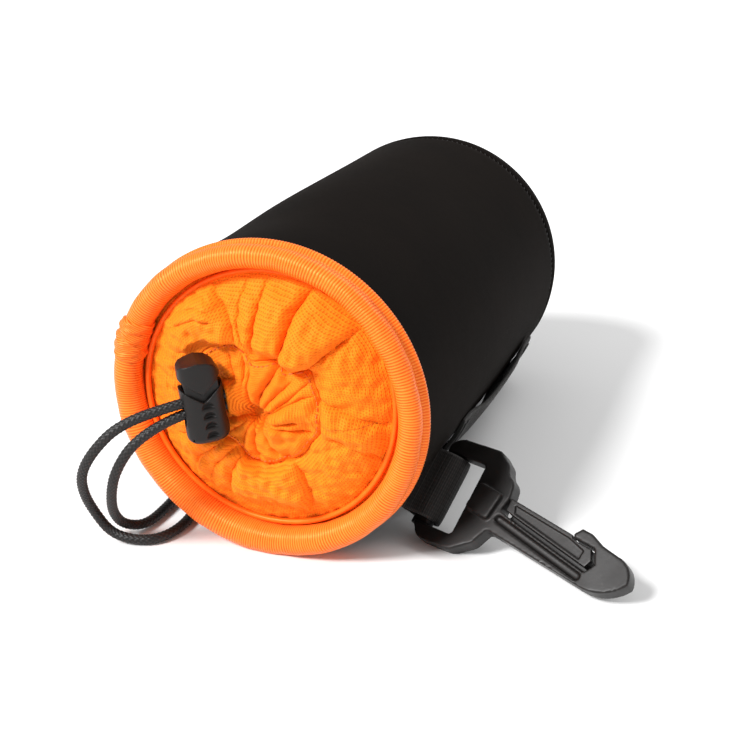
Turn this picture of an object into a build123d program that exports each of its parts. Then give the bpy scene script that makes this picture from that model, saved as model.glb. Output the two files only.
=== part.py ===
from build123d import *
import math
import os

# Treat pouch: a padded tube lying on its side, closed by a drawstring collar.
# Millimetres.  +Z up, +Y from the mouth to the base, +X to the hook's side.
# The origin is the middle of the flat that the wall makes where it lies.

# ---- driving dimensions ----
RIM_RADIUS = 50.0            # outside of the bound rim
ROLL_RADIUS = 5.0            # fat rolled binding
WALL_RADIUS = 49.3           # outside of the padded wall
WALL_THICKNESS = 3.0
LINING_THICKNESS = 0.6
POUCH_LENGTH = 175.0         # mouth plane to the outside of the base
BASE_ROUNDING = 20.0
AXIS_HEIGHT = 49.0           # pouch axis above the surface it lies on
MOUTH_Y = -85.0              # the mouth plane
WEBBING_WIDTH = 22.0
WEBBING_THICKNESS = 1.5
CORD_DIAMETER = 3.2

# ---- derived places ----
BASE_Y = MOUTH_Y + POUCH_LENGTH
ROLL_CENTRE_RADIUS = RIM_RADIUS - ROLL_RADIUS
WALL_START = 5.0             # the padding starts behind the roll
SHOULDER = POUCH_LENGTH - BASE_ROUNDING
INNER_RADIUS = WALL_RADIUS - WALL_THICKNESS
TAPE_THICKNESS = 0.5
LINING_RADIUS = INNER_RADIUS - TAPE_THICKNESS
LINING_BORE = LINING_RADIUS - LINING_THICKNESS

# y grows into the pouch from the mouth plane
POUCH = Plane(origin=(0, MOUTH_Y, AXIS_HEIGHT), x_dir=(1, 0, 0), z_dir=(0, 1, 0))


def at(x, y, z):
    """A point given from the centre of the mouth, as one of the row's frame."""
    return Vector(x, MOUTH_Y + y, AXIS_HEIGHT + z)


def unit(x, y, z):
    return Vector(x, y, z).normalized()


def ring(profile):
    """Turn a profile drawn as (radius, depth behind the mouth) round the pouch axis."""
    turned = revolve(Plane.XZ * profile, Axis.Z)
    return Plane(origin=(0, MOUTH_Y, AXIS_HEIGHT), x_dir=(1, 0, 0), z_dir=(0, 1, 0)) * turned


def band(inner, outer, start, end):
    """The rectangle between two radii and two depths."""
    return Pos((inner + outer) / 2, (start + end) / 2) * Rectangle(outer - inner, end - start)


def tube(inner, outer, start, end):
    return ring(band(inner, outer, start, end))


def grounded(solid):
    """Cut away what would reach below the surface the pouch lies on."""
    below = Pos(0, 0, -50) * Box(600, 600, 100)
    return solid - below


parts = {}

# ---- padded wall and base ----
wall = tube(INNER_RADIUS, WALL_RADIUS, WALL_START, SHOULDER)
parts["body_wall"] = grounded(wall)


def cup(radius, rounding, start, end):
    """A plug from one depth to another with its far edge rounded."""
    plug = Cylinder(radius, end - start, align=(Align.CENTER, Align.CENTER, Align.MIN))
    plug = fillet(plug.edges().filter_by(GeomType.CIRCLE).sort_by(Axis.Z)[-1], rounding)
    return POUCH * Pos(0, 0, start) * plug


base_outer = cup(WALL_RADIUS, BASE_ROUNDING - 1, SHOULDER, POUCH_LENGTH)
base_inner = cup(INNER_RADIUS, BASE_ROUNDING - 1 - WALL_THICKNESS, SHOULDER - 5,
                 POUCH_LENGTH - WALL_THICKNESS)
parts["base_panel"] = grounded(base_outer - base_inner)

# ---- seam tapes between the padding and the lining ----
SEAM_ANGLE = -46.0
SEAM_TAPE_ARC = 14.0
tape = Plane.XZ * band(LINING_RADIUS, INNER_RADIUS, 12, SHOULDER - 14)
tape = revolve(tape, Axis.Z, SEAM_TAPE_ARC)
parts["side_seam_tape"] = POUCH * Rot(0, 0, -SEAM_ANGLE - SEAM_TAPE_ARC / 2) * tape
parts["base_seam_tape"] = tube(LINING_RADIUS, INNER_RADIUS, SHOULDER - 12, SHOULDER - 1)

# ---- lining ----
LINING_START = 9.0
LINING_END = POUCH_LENGTH - WALL_THICKNESS - 4
lining_shoulder = SHOULDER - 1
parts["lining_tube"] = tube(LINING_BORE, LINING_RADIUS, LINING_START, lining_shoulder)
lining_rounding = 12.0
lining_outer = cup(LINING_RADIUS, lining_rounding, lining_shoulder, LINING_END)
lining_inner = cup(LINING_BORE, lining_rounding - LINING_THICKNESS, lining_shoulder - 5,
                   LINING_END - LINING_THICKNESS)
parts["lining_base"] = lining_outer - lining_inner

# ---- rim: cord core inside a wide binding that turns over both faces of the wall ----
CORE_RADIUS = 3.6
FLANGE_THICKNESS = 0.6
FLANGE_DEPTH = 7.0
roll = Pos(ROLL_CENTRE_RADIUS, 0) * Circle(ROLL_RADIUS)
outer_flange = band(WALL_RADIUS, WALL_RADIUS + FLANGE_THICKNESS, 0, FLANGE_DEPTH)
inner_flange = band(INNER_RADIUS - FLANGE_THICKNESS, INNER_RADIUS, 0, FLANGE_DEPTH)
core_hole = Pos(ROLL_CENTRE_RADIUS, 0) * Circle(CORE_RADIUS)
parts["rim_binding"] = grounded(ring(roll + outer_flange + inner_flange - core_hole))
parts["rim_core"] = ring(core_hole)

# the lap where the binding's two ends cross, on the far side from the hook
LAP_ANGLE = 160.0
LAP_ARC = 17.0
LAP_THICKNESS = 0.6
lap_ring = Circle(ROLL_RADIUS + LAP_THICKNESS) - Circle(ROLL_RADIUS)
lap_front = Pos(0, -5) * Rectangle(40, 10)
lap = revolve(Plane.XZ * Pos(ROLL_CENTRE_RADIUS, 0) * (lap_ring & lap_front), Axis.Z, LAP_ARC)
parts["binding_lap"] = POUCH * Rot(0, 0, -LAP_ANGLE - LAP_ARC / 2) * lap

# ---- collar: pleated skirt from the rim, then the hem that holds the drawstring ----
PIPING_RADIUS = 0.9
PIPING_CENTRE = ROLL_CENTRE_RADIUS - ROLL_RADIUS - PIPING_RADIUS
HEM_RADIUS = 20.0
HEM_THICKNESS = 5.0
HEM_FRONT = -4.0
NECK_RADIUS = 3.8
STRING_RING_RADIUS = 7.2
parts["collar_piping"] = ring(Pos(PIPING_CENTRE, 1.5) * Circle(PIPING_RADIUS))
skirt_line = [(INNER_RADIUS - FLANGE_THICKNESS, 8.0), (INNER_RADIUS - FLANGE_THICKNESS, 5.2),
              (39.0, 5.2), (39.0, 0.0), (HEM_RADIUS, HEM_FRONT + 0.5),
              (HEM_RADIUS, HEM_FRONT + 3.0), (38.0, 4.0), (38.0, 8.0)]
skirt = make_face(Polyline(*skirt_line, close=True))
skirt -= Pos(PIPING_CENTRE, 1.5) * Circle(PIPING_RADIUS)
parts["collar_skirt"] = ring(skirt)
hem = band(NECK_RADIUS, HEM_RADIUS, HEM_FRONT, HEM_FRONT + HEM_THICKNESS)
string_hole = Pos(STRING_RING_RADIUS, HEM_FRONT + HEM_THICKNESS / 2) * Circle(CORD_DIAMETER / 2)
hem_solid = ring(hem - string_hole)
parts["channel_cord"] = ring(string_hole)

# ---- cord lock: barrel, spring and plunger, on the two strands side by side ----
LOCK_CENTRE = at(-14.3, -12.1, 4.2)
LOCK_LEAN = 7.0              # degrees, top towards the strands' free side
LOCK_HEADING = 217.0         # degrees, the way the strands leave, seen from above
BARREL_WIDTH = 12.8          # along the strands
BARREL_DEPTH = 10.4
BARREL_FOOT = -12.5          # heights are from the lock's centre
BARREL_TOP = 6.0
SHOULDER_DIP = 5.2
CAVITY = (10.2, 7.6)
CAVITY_FLOOR = -11.0
PLUNGER = (10.0, 7.4)
PLUNGER_FOOT = -7.2
PLUNGER_TOP = 13.0
PLUNGER_TRAVEL = 2.4
STRAND_GAP = 0.2
STRAND_HOLE = 4.8
UPPER_STRAND = 0.45
LOWER_STRAND = UPPER_STRAND - CORD_DIAMETER - STRAND_GAP
STRANDS_TOP = UPPER_STRAND + CORD_DIAMETER / 2
STRANDS_FOOT = LOWER_STRAND - CORD_DIAMETER / 2
HOLE_MARGIN = 0.1
STRAND_SAG = 0.3             # the strands hang this much in the middle of the lock
STRAND_DROOP = 1.5           # room for the strands to sag out of the slot

heading = math.radians(LOCK_HEADING)
lean = math.radians(LOCK_LEAN)
strand_way = Vector(math.cos(heading) * math.cos(lean), math.sin(heading) * math.cos(lean),
                    -math.sin(lean))
lock_up = Vector(math.cos(heading) * math.sin(lean), math.sin(heading) * math.sin(lean),
                 math.cos(lean))
LOCK = Plane(origin=LOCK_CENTRE, x_dir=strand_way, z_dir=lock_up)


def oval(width, depth, exponent=2.6, points=20):
    """A closed superellipse, rounder than a box and squarer than an ellipse."""
    outline = []
    for step in range(points):
        turn = 2 * math.pi * step / points
        c, s = math.cos(turn), math.sin(turn)
        outline.append((math.copysign(abs(c) ** (2 / exponent), c) * width / 2,
                        math.copysign(abs(s) ** (2 / exponent), s) * depth / 2))
    return make_face(Spline(*outline, periodic=True))


def upright(width, depth, low, high):
    """A block in the lock's own axes between two heights."""
    return Pos(0, 0, (low + high) / 2) * Box(width, depth, high - low)


def strand_slot(low, high, length=30):
    """A slot through the lock, along the strands, with rounded top and bottom."""
    slot = Plane.YZ * Pos(0, (low + high) / 2) * Rot(0, 0, 90) * SlotOverall(high - low, STRAND_HOLE)
    return Pos(-length / 2, 0, 0) * extrude(slot, length)


barrel = Pos(0, 0, BARREL_FOOT) * extrude(oval(BARREL_WIDTH, BARREL_DEPTH), BARREL_TOP - BARREL_FOOT)
barrel = fillet(barrel.faces().sort_by(Axis.Z)[0].edges(), 2.6)
dip_line = [(0, BARREL_TOP - SHOULDER_DIP), (BARREL_WIDTH / 2 + 0.2, BARREL_TOP - 0.2),
            (BARREL_WIDTH / 2 + 0.2, BARREL_TOP + 3), (-BARREL_WIDTH / 2 - 0.2, BARREL_TOP + 3),
            (-BARREL_WIDTH / 2 - 0.2, BARREL_TOP - 0.2)]
dip = extrude(Plane.XZ * make_face(Polyline(*dip_line, close=True)), 20, both=True)
barrel -= dip
barrel -= upright(*CAVITY, CAVITY_FLOOR, BARREL_TOP + 5)
barrel -= strand_slot(STRANDS_FOOT - PLUNGER_TRAVEL - 0.2, STRANDS_TOP + HOLE_MARGIN)
GRIP_DENTS = 4               # on the side that faces out of the mouth
for row in range(GRIP_DENTS):
    dent = Pos(-0.9, BARREL_DEPTH / 2 + 1.6, -10.2 + 3.1 * row) * Rot(-28, 0, 0)
    barrel -= dent * Cylinder(2.6, 2.0)
parts["cord_lock_barrel"] = LOCK * barrel

button_apex = BARREL_TOP - SHOULDER_DIP + PLUNGER_TRAVEL + 0.2
button_side = BARREL_TOP - 0.2 + PLUNGER_TRAVEL + 0.2
plunger = upright(*PLUNGER, PLUNGER_FOOT, button_side + 0.5)
half_button = BARREL_WIDTH / 2 - 0.2
button_line = [(0, button_apex), (half_button, button_side), (half_button - 0.3, PLUNGER_TOP - 1.2),
               (half_button - 1.4, PLUNGER_TOP - 0.4), (0, PLUNGER_TOP + 0.3),
               (-half_button + 3.2, PLUNGER_TOP - 0.3), (-half_button + 1.2, PLUNGER_TOP - 1.8),
               (-half_button, button_side)]
button = extrude(Plane.XZ * make_face(Polyline(*button_line, close=True)), 20, both=True)
button &= Pos(0, 0, BARREL_TOP - 5) * extrude(oval(BARREL_WIDTH - 0.4, BARREL_DEPTH - 0.4), 20)
plunger += button
plunger -= strand_slot(STRANDS_FOOT - STRAND_DROOP, STRANDS_TOP + PLUNGER_TRAVEL + 0.15)
parts["cord_lock_plunger"] = LOCK * plunger

SPRING_WIRE = 0.5
SPRING_RADIUS = 2.0
SPRING_TURNS = 3
spring_height = PLUNGER_FOOT - CAVITY_FLOOR - SPRING_WIRE - 0.1
coil = Helix(spring_height / SPRING_TURNS, spring_height, SPRING_RADIUS)
coil_start = Plane(origin=coil @ 0, z_dir=coil % 0)
spring = sweep(coil_start * Circle(SPRING_WIRE / 2), path=coil, is_frenet=True)
parts["cord_lock_spring"] = LOCK * Pos(0, 0, CAVITY_FLOOR + SPRING_WIRE / 2 + 0.05) * spring

# ---- drawstring strands: out of the hem, through the lock, down to a knot ----
HEM_EXIT = 13.2              # behind the lock's centre
LOOP_END = at(-39.0, 45.0, 4.4 - AXIS_HEIGHT)
KNOT_RADIUS = 4.4
KNOT_LENGTH = 9.0
knot_way = unit(-0.20, 0.98, 0.0)
KNOT = Plane(origin=LOOP_END, x_dir=(0, 0, 1), z_dir=knot_way)
ON_FLOOR = CORD_DIAMETER / 2 + 0.1 - AXIS_HEIGHT


def lock_point(along, height):
    return LOCK.from_local_coords(Vector(along, 0, height))


strand_a = [lock_point(-HEM_EXIT, UPPER_STRAND), lock_point(-4.0, UPPER_STRAND - STRAND_SAG),
            lock_point(7.5, UPPER_STRAND), at(-34.6, -25.3, -1.4), at(-42.0, -28.6, -9.4),
            at(-48.2, -27.5, -18.8), at(-51.8, -21.6, -29.2), at(-52.8, -15.2, -39.0),
            at(-48.8, -13.6, -46.0), at(-41.0, -13.4, ON_FLOOR), at(-33.6, -10.0, ON_FLOOR),
            at(-30.8, -0.5, ON_FLOOR), at(-32.2, 11.5, ON_FLOOR), at(-35.0, 24.0, ON_FLOOR),
            at(-37.3, 34.0, ON_FLOOR + 1.0)]
strand_b = [lock_point(-HEM_EXIT, LOWER_STRAND), lock_point(-4.0, LOWER_STRAND - STRAND_SAG),
            lock_point(7.5, LOWER_STRAND), at(-30.8, -23.9, -6.6), at(-37.0, -26.0, -16.5),
            at(-41.3, -23.0, -27.0), at(-44.8, -17.2, -36.8), at(-45.7, -10.2, -44.5),
            at(-42.0, -3.4, ON_FLOOR), at(-41.8, 9.0, ON_FLOOR), at(-43.0, 20.0, ON_FLOOR),
            at(-42.3, 31.0, ON_FLOOR + 1.0)]
ends = {"a": KNOT.from_local_coords(Vector(0, 1.75, -KNOT_LENGTH / 2)),
        "b": KNOT.from_local_coords(Vector(0, -1.75, -KNOT_LENGTH / 2))}


def corner_radii(points):
    """Each arc is as large as its two runs allow."""
    radii = []
    for before, corner, after in zip(points, points[1:], points[2:]):
        turn = math.radians((corner - before).get_angle(after - corner))
        shorter = min((corner - before).length, (after - corner).length)
        radii.append(0.45 * shorter / math.tan(turn / 2))
    return radii


def cord(name, points):
    """A round tube along straight runs joined by tangent arcs."""
    radii = corner_radii(points)
    path = FilletPolyline(*points, radius=radii)
    section = Plane(origin=points[0], z_dir=points[1] - points[0]) * Circle(CORD_DIAMETER / 2)
    solid = sweep(section, path=path)
    area = math.pi * CORD_DIAMETER ** 2 / 4
    print(name, "length", round(path.length, 1), "volume over section x length",
          round(solid.volume / (area * path.length), 4))
    print("   runs ", [round((b - a).length, 1) for a, b in zip(points, points[1:])])
    print("   radii", [round(r, 1) for r in radii])
    return solid


knot = Cylinder(KNOT_RADIUS, KNOT_LENGTH)
knot = KNOT * fillet(knot.edges().filter_by(GeomType.CIRCLE), 0.8)
parts["cord_strand_a"] = cord("cord_strand_a", strand_a + [ends["a"]]) - knot
parts["cord_strand_b"] = cord("cord_strand_b", strand_b + [ends["b"]]) - knot
parts["cord_knot"] = knot

# the two strands come out of the hem through eyelets behind the lock
for height in (UPPER_STRAND, LOWER_STRAND):
    eyelet = Plane(origin=lock_point(-HEM_EXIT - 6, height), z_dir=strand_way)
    hem_solid -= extrude(eyelet * Circle(CORD_DIAMETER / 2), 30)
parts["collar_channel"] = hem_solid

# ---- belt strap: webbing sewn down at both ends, standing off the wall between ----
STRAP_ANGLE = -34.0
STRAP_START = 49.0
STRAP_END = 130.0
STRAP_TACK = 7.0             # sewn length at each end
STRAP_RISE = 12.0            # length over which it lifts
STRAP_GAP = 1.9
STRAP_SINK = 1.25            # the flat webbing beds this far into the round wall
seat = WALL_RADIUS - STRAP_SINK
lift = seat + STRAP_GAP + STRAP_SINK
strap_side = [(STRAP_START, seat), (STRAP_START + STRAP_TACK, seat),
              (STRAP_START + STRAP_TACK + STRAP_RISE, lift),
              (STRAP_END - STRAP_TACK - 2.4 * STRAP_RISE, lift), (STRAP_END - STRAP_TACK, seat),
              (STRAP_END, seat)]
strap_upper = [(y, r + WEBBING_THICKNESS + STRAP_SINK * (r == seat)) for y, r in strap_side]
STRAP = POUCH * Rot(0, 0, -STRAP_ANGLE)
strap_face = make_face(Polyline(*[(r, y) for y, r in strap_side + strap_upper[::-1]], close=True))
strap = extrude(Plane.XZ * strap_face, WEBBING_WIDTH / 2, both=True)
strap_solid = STRAP * strap
wall_space = POUCH * Cylinder(WALL_RADIUS, 400)
parts["belt_strap"] = strap_solid - wall_space

# bar tacks: the dense thread bars that hold the strap's ends
TACK_THREAD = 0.5
tacks = []
for depth in (STRAP_START + 2.5, STRAP_START + 5.0, STRAP_END - 5.0, STRAP_END - 2.5):
    tack_radius = WALL_RADIUS + WEBBING_THICKNESS + TACK_THREAD / 2
    bar = STRAP * Pos(tack_radius, 0, depth) * Box(TACK_THREAD, WEBBING_WIDTH - 4, 1.2)
    tacks.append(bar)
parts["strap_bar_tacks"] = Compound(children=tacks)

# ---- snap hook: frame, grooved spine and rounded nose in one moulding ----
HOOK_ORIGIN = at(42.06, 30.86, -33.0)
hook_long = unit(0.949, -0.3133, -0.0346)
bar_way = unit(0.2452, 0.6647, 0.7058)
hook_normal = hook_long.cross(bar_way)
HOOK = Plane(origin=HOOK_ORIGIN, x_dir=hook_long, z_dir=hook_normal)
HOOK_THICKNESS = 6.0
HALF_FRAME = 17.2            # half of the frame's outside width
OUTLINE_ROUNDING = 3.8
BAR_LEFT = -1.5
BAR_RIGHT = 5.7
BAR_THICKNESS = 4.4
BAR_CENTRE = (BAR_LEFT + BAR_RIGHT) / 2
BAR_DEPTH = -HOOK_THICKNESS / 2
WINDOW_RIGHT = 14.8
WINDOW_HALF = 12.2
FRAME_RIGHT = 24.0
NOSE_CENTRE = (67.0, -6.2)
NOSE_RADIUS = 6.4


def plate(sketch, low=-HOOK_THICKNESS, high=0.0):
    """A piece of the hook between two heights below its top face."""
    return extrude(Pos(0, 0, low) * sketch, high - low)


frame_outline = make_face(Polyline(
    (BAR_LEFT + 2.1, -9.0), (BAR_LEFT + 2.1, -13.4), (BAR_LEFT + 5.4, -HALF_FRAME - 0.4),
    (FRAME_RIGHT - 8, -HALF_FRAME - 0.2), (FRAME_RIGHT - 1.5, -12.5), (FRAME_RIGHT + 0.6, -8.0),
    (FRAME_RIGHT + 3.4, 5.0), (FRAME_RIGHT + 2.6, 9.8), (FRAME_RIGHT - 0.4, 11.4),
    (FRAME_RIGHT - 2.0, 14.6), (FRAME_RIGHT - 6.5, HALF_FRAME + 0.6), (BAR_LEFT + 5.0, HALF_FRAME),
    (BAR_LEFT + 1.2, HALF_FRAME - 2.0), (BAR_LEFT + 1.2, 8.0), close=True))
frame_outline = fillet(frame_outline.vertices(), OUTLINE_ROUNDING)
frame_plate = plate(frame_outline)
window_middle = (BAR_LEFT - 8 + WINDOW_RIGHT) / 2
window = Pos(window_middle, -0.5) * RectangleRounded(WINDOW_RIGHT - BAR_LEFT + 8, 2 * WINDOW_HALF, 1.4)
frame_plate -= plate(window, -HOOK_THICKNESS - 1, 1)
bar_section = Plane.XZ * Pos(BAR_CENTRE, BAR_DEPTH) * SlotOverall(BAR_RIGHT - BAR_LEFT, BAR_THICKNESS)
cross_bar = extrude(bar_section, HALF_FRAME - 3.6, both=True)

blade_outline = make_face(
    Polyline((FRAME_RIGHT - 6, -8.4), (FRAME_RIGHT + 2, -7.2), (60.0, -12.0)) +
    TangentArc((60.0, -12.0), (73.4, -6.2), tangent=(1, -0.15)) +
    TangentArc((73.4, -6.2), (67.2, 0.6), tangent=(0, 1)) +
    Polyline((67.2, 0.6), (61.4, 1.9), (57.0, 4.0), (53.4, 4.4), (51.7, 2.2), (51.9, 0.9),
             (59.4, 0.1), (61.6, -4.6), (59.5, -7.6), (FRAME_RIGHT + 5, -0.9),
             (FRAME_RIGHT + 2.4, 0.5), (FRAME_RIGHT - 6, 3.0), (FRAME_RIGHT - 6, -8.4)))
blade = plate(blade_outline)
BLOCK_RISE = 1.5
block = plate(Pos(20.2, 0.8) * Rot(0, 0, -8) * RectangleRounded(8.8, 9.2, 1.0), -1, BLOCK_RISE)
# a thin web closes the back of the slit beside the gate, so no light shows through it
WEB_THICKNESS = 1.0
GATE_OVER_WEB = 0.4
web_outline = make_face(Polyline((FRAME_RIGHT + 4, 2.2), (60.0, -3.0), (61.0, -8.5), (FRAME_RIGHT + 4, -1.5),
                                 close=True))
web = plate(web_outline, -HOOK_THICKNESS, -HOOK_THICKNESS + WEB_THICKNESS)
groove = Pos(42.5, -6.0) * Rot(0, 0, -12.4) * SlotOverall(34, 2.4)
hook = frame_plate + cross_bar + blade + block + web
hook -= plate(groove, -1.2, 1)
parts["hook_body"] = HOOK * hook

# ---- spring gate: a tongue from the frame's corner to the inside of the nose ----
gate_outline = make_face(Polyline(
    (FRAME_RIGHT + 3.9, 5.0), (51.4, 1.55), (51.6, 0.45), (58.6, -0.4), (60.1, -3.6),
    (59.0, -6.0), (FRAME_RIGHT + 8, -0.15), (FRAME_RIGHT + 3.9, 0.9), close=True))
gate = plate(gate_outline, -HOOK_THICKNESS + WEB_THICKNESS + GATE_OVER_WEB, -0.4)
gate_recess = make_face(Polyline((30.0, 3.4), (50.6, 0.4), (56.6, -1.6), (56.4, -4.6), (31.0, 0.9),
                                 close=True))
parts["hook_gate"] = HOOK * (gate - plate(gate_recess, -0.9, 1))

# ---- webbing tab: a loop round the hook's bar, its two plies sewn to the wall ----
LOOP_BORE = (BAR_RIGHT - BAR_LEFT) / 2 + 0.35
loop_outer = LOOP_BORE + WEBBING_THICKNESS
BAR_PLANE = Plane(origin=HOOK.from_local_coords(Vector(BAR_CENTRE, 0, BAR_DEPTH)),
                  x_dir=hook_long, z_dir=bar_way)
PLY_ANGLE = 141.5            # the way the plies leave, from the hook's length
tab = Cylinder(loop_outer, WEBBING_WIDTH)
plies = Rot(0, 0, -PLY_ANGLE) * Pos(20, 0, 0) * Box(40, 2 * WEBBING_THICKNESS + 0.6, WEBBING_WIDTH)
tab = tab + plies - Cylinder(LOOP_BORE, WEBBING_WIDTH + 2)
parts["hook_tab"] = grounded(BAR_PLANE * tab) - wall_space

if __name__ == "__main__":
    os.makedirs("parts", exist_ok=True)
    for name, solid in parts.items():
        export_step(solid, f"parts/{name}.step")
    print("lock way", strand_way, "lock up", lock_up, "hook normal", hook_normal)
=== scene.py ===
import bpy
import math
import numpy as np
from mathutils import Matrix, Vector


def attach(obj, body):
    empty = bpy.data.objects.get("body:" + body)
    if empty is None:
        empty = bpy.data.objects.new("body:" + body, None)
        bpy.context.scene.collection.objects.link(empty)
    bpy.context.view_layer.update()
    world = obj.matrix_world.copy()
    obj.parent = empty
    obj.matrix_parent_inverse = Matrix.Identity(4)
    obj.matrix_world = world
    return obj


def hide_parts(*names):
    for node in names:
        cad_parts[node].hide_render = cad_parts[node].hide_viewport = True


# Treat pouch: black padded tube on its side, orange ribbed rim, gathered mesh collar with a
# drawstring and cord lock, belt strap, webbing tab and a moulded snap hook.
# Lengths below are millimetres from the centre of the mouth: +x to the hook's side, +y into the
# pouch, +z up.  at() and row() turn them into the row's frame, in metres.

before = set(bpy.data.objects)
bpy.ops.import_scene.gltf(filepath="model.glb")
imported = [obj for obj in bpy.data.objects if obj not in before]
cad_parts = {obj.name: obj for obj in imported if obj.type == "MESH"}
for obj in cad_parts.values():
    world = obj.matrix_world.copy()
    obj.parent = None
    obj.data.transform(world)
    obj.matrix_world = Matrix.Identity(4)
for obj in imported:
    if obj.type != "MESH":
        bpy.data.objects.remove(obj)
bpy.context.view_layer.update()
MM = 0.001
MOUTH_Y, AXIS_Z = -85.0, 49.0
FLOOR = -AXIS_Z
TAU = 2 * math.pi


def at(x, y, z):
    return Vector((x, MOUTH_Y + y, AXIS_Z + z)) * MM


def row(points):
    return (np.asarray(points, float) + (0.0, MOUTH_Y, AXIS_Z)) * MM


def unit(x, y, z):
    return Vector((x, y, z)).normalized()


def axes(x_way, z_way, origin):
    """A frame like a CAD plane, as a matrix in millimetres from the mouth."""
    x_way, z_way = Vector(x_way).normalized(), Vector(z_way).normalized()
    y_way = z_way.cross(x_way)
    turned = Matrix((x_way, y_way, z_way)).transposed().to_4x4()
    return Matrix.Translation(Vector(origin)) @ turned


# ---- camera ----
camera = bpy.data.objects.new("camera", bpy.data.cameras.new("camera"))
bpy.context.scene.collection.objects.link(camera)
camera_right = Vector((0.931955, 0.362574, 0.0))
camera_up = Vector((-0.139831, 0.359419, 0.922640))
camera_look = Vector((-0.334525, 0.859859, -0.385662))
turned = Matrix((camera_right, camera_up, -camera_look)).transposed().to_4x4()
camera.matrix_world = Matrix.Translation(at(162.48, -327.75, 161.80)) @ turned
camera.data.sensor_width = 36.0
camera.data.lens = 64.39
camera.data.clip_start = 0.01
bpy.context.scene.camera = camera


# ---- material building ----
class Finish:
    """A procedural material; lengths in its textures are millimetres."""

    def __init__(self, name, roughness=0.6, specular=0.5, **sockets):
        self.material = bpy.data.materials.new(name)
        self.material.use_nodes = True
        self.tree = self.material.node_tree
        self.shader = self.tree.nodes["Principled BSDF"]
        self.shader.inputs["Roughness"].default_value = roughness
        self.shader.inputs["Specular IOR Level"].default_value = specular
        for socket, value in sockets.items():
            self.shader.inputs[socket.replace("_", " ")].default_value = value
        self.where = {}

    def node(self, kind, inputs=(), **settings):
        made = self.tree.nodes.new("ShaderNode" + kind)
        for key, value in settings.items():
            setattr(made, key, value)
        for key, value in dict(inputs).items():
            self.feed(made.inputs[key], value)
        return made

    def feed(self, socket, value):
        if isinstance(value, bpy.types.NodeSocket):
            self.tree.links.new(value, socket)
        else:
            socket.default_value = value

    def coords(self, kind):
        """Object coordinates or the unwrapped cloth, in millimetres."""
        if kind not in self.where:
            source = self.node("TexCoord").outputs[kind]
            scale = 1000.0 if kind == "Object" else 100.0
            self.where[kind] = self.node("VectorMath", {0: source, 1: (scale,) * 3},
                                         operation="MULTIPLY").outputs[0]
        return self.where[kind]

    def squeeze(self, coords, x, y, z, shear=0.0):
        """Coordinates divided by a pitch along each axis, and sheared along x."""
        scaled = self.node("VectorMath", {0: coords, 1: (1 / x, 1 / y, 1 / z)},
                           operation="MULTIPLY").outputs[0]
        if not shear:
            return scaled
        parts = self.node("SeparateXYZ", {0: scaled}).outputs
        slid = self.math("ADD", parts[0], self.math("MULTIPLY", parts[1], shear))
        return self.node("CombineXYZ", {0: slid, 1: parts[1], 2: parts[2]}).outputs[0]

    def math(self, operation, a, b=0.0, clamp=False):
        return self.node("Math", {0: a, 1: b}, operation=operation, use_clamp=clamp).outputs[0]

    def noise(self, coords, size, detail=3.0, rough=0.5, distortion=0.0):
        return self.node("TexNoise", {"Vector": coords, "Scale": 1.0 / size, "Detail": detail,
                                      "Roughness": rough, "Distortion": distortion}).outputs[0]

    def spots(self, coords, randomness=0.0):
        return self.node("TexVoronoi", {"Vector": coords, "Scale": 1.0,
                                        "Randomness": randomness}).outputs["Distance"]

    def wave(self, coords, size, direction="X", distortion=0.0, detail=1.0):
        return self.node("TexWave", {"Vector": coords, "Scale": 0.314159 / size,
                                     "Distortion": distortion, "Detail": detail},
                         bands_direction=direction).outputs["Fac"]

    def ramp(self, factor, low, high, start=0.0, end=1.0):
        made = self.node("MapRange", {"Value": factor, "From Min": low, "From Max": high,
                                      "To Min": start, "To Max": end})
        return made.outputs[0]

    def mix(self, factor, a, b, blend="MIX"):
        made = self.node("Mix", data_type="RGBA", blend_type=blend)
        for socket, value in zip((made.inputs[0], made.inputs[6], made.inputs[7]), (factor, a, b)):
            if isinstance(value, tuple) and len(value) == 3:
                value = (*value, 1.0)
            self.feed(socket, value)
        return made.outputs[2]

    def colour(self, value):
        self.feed(self.shader.inputs["Base Color"], value)

    def rough(self, value):
        self.feed(self.shader.inputs["Roughness"], value)

    def bump(self, height, distance, strength=1.0):
        """Add relief of this many millimetres."""
        socket = self.shader.inputs["Normal"]
        before = socket.links[0].from_socket if socket.links else None
        made = self.node("Bump", {"Height": height, "Distance": distance * MM,
                                  "Strength": strength})
        if before:
            self.tree.links.new(before, made.inputs["Normal"])
        self.tree.links.new(made.outputs[0], socket)


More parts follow.
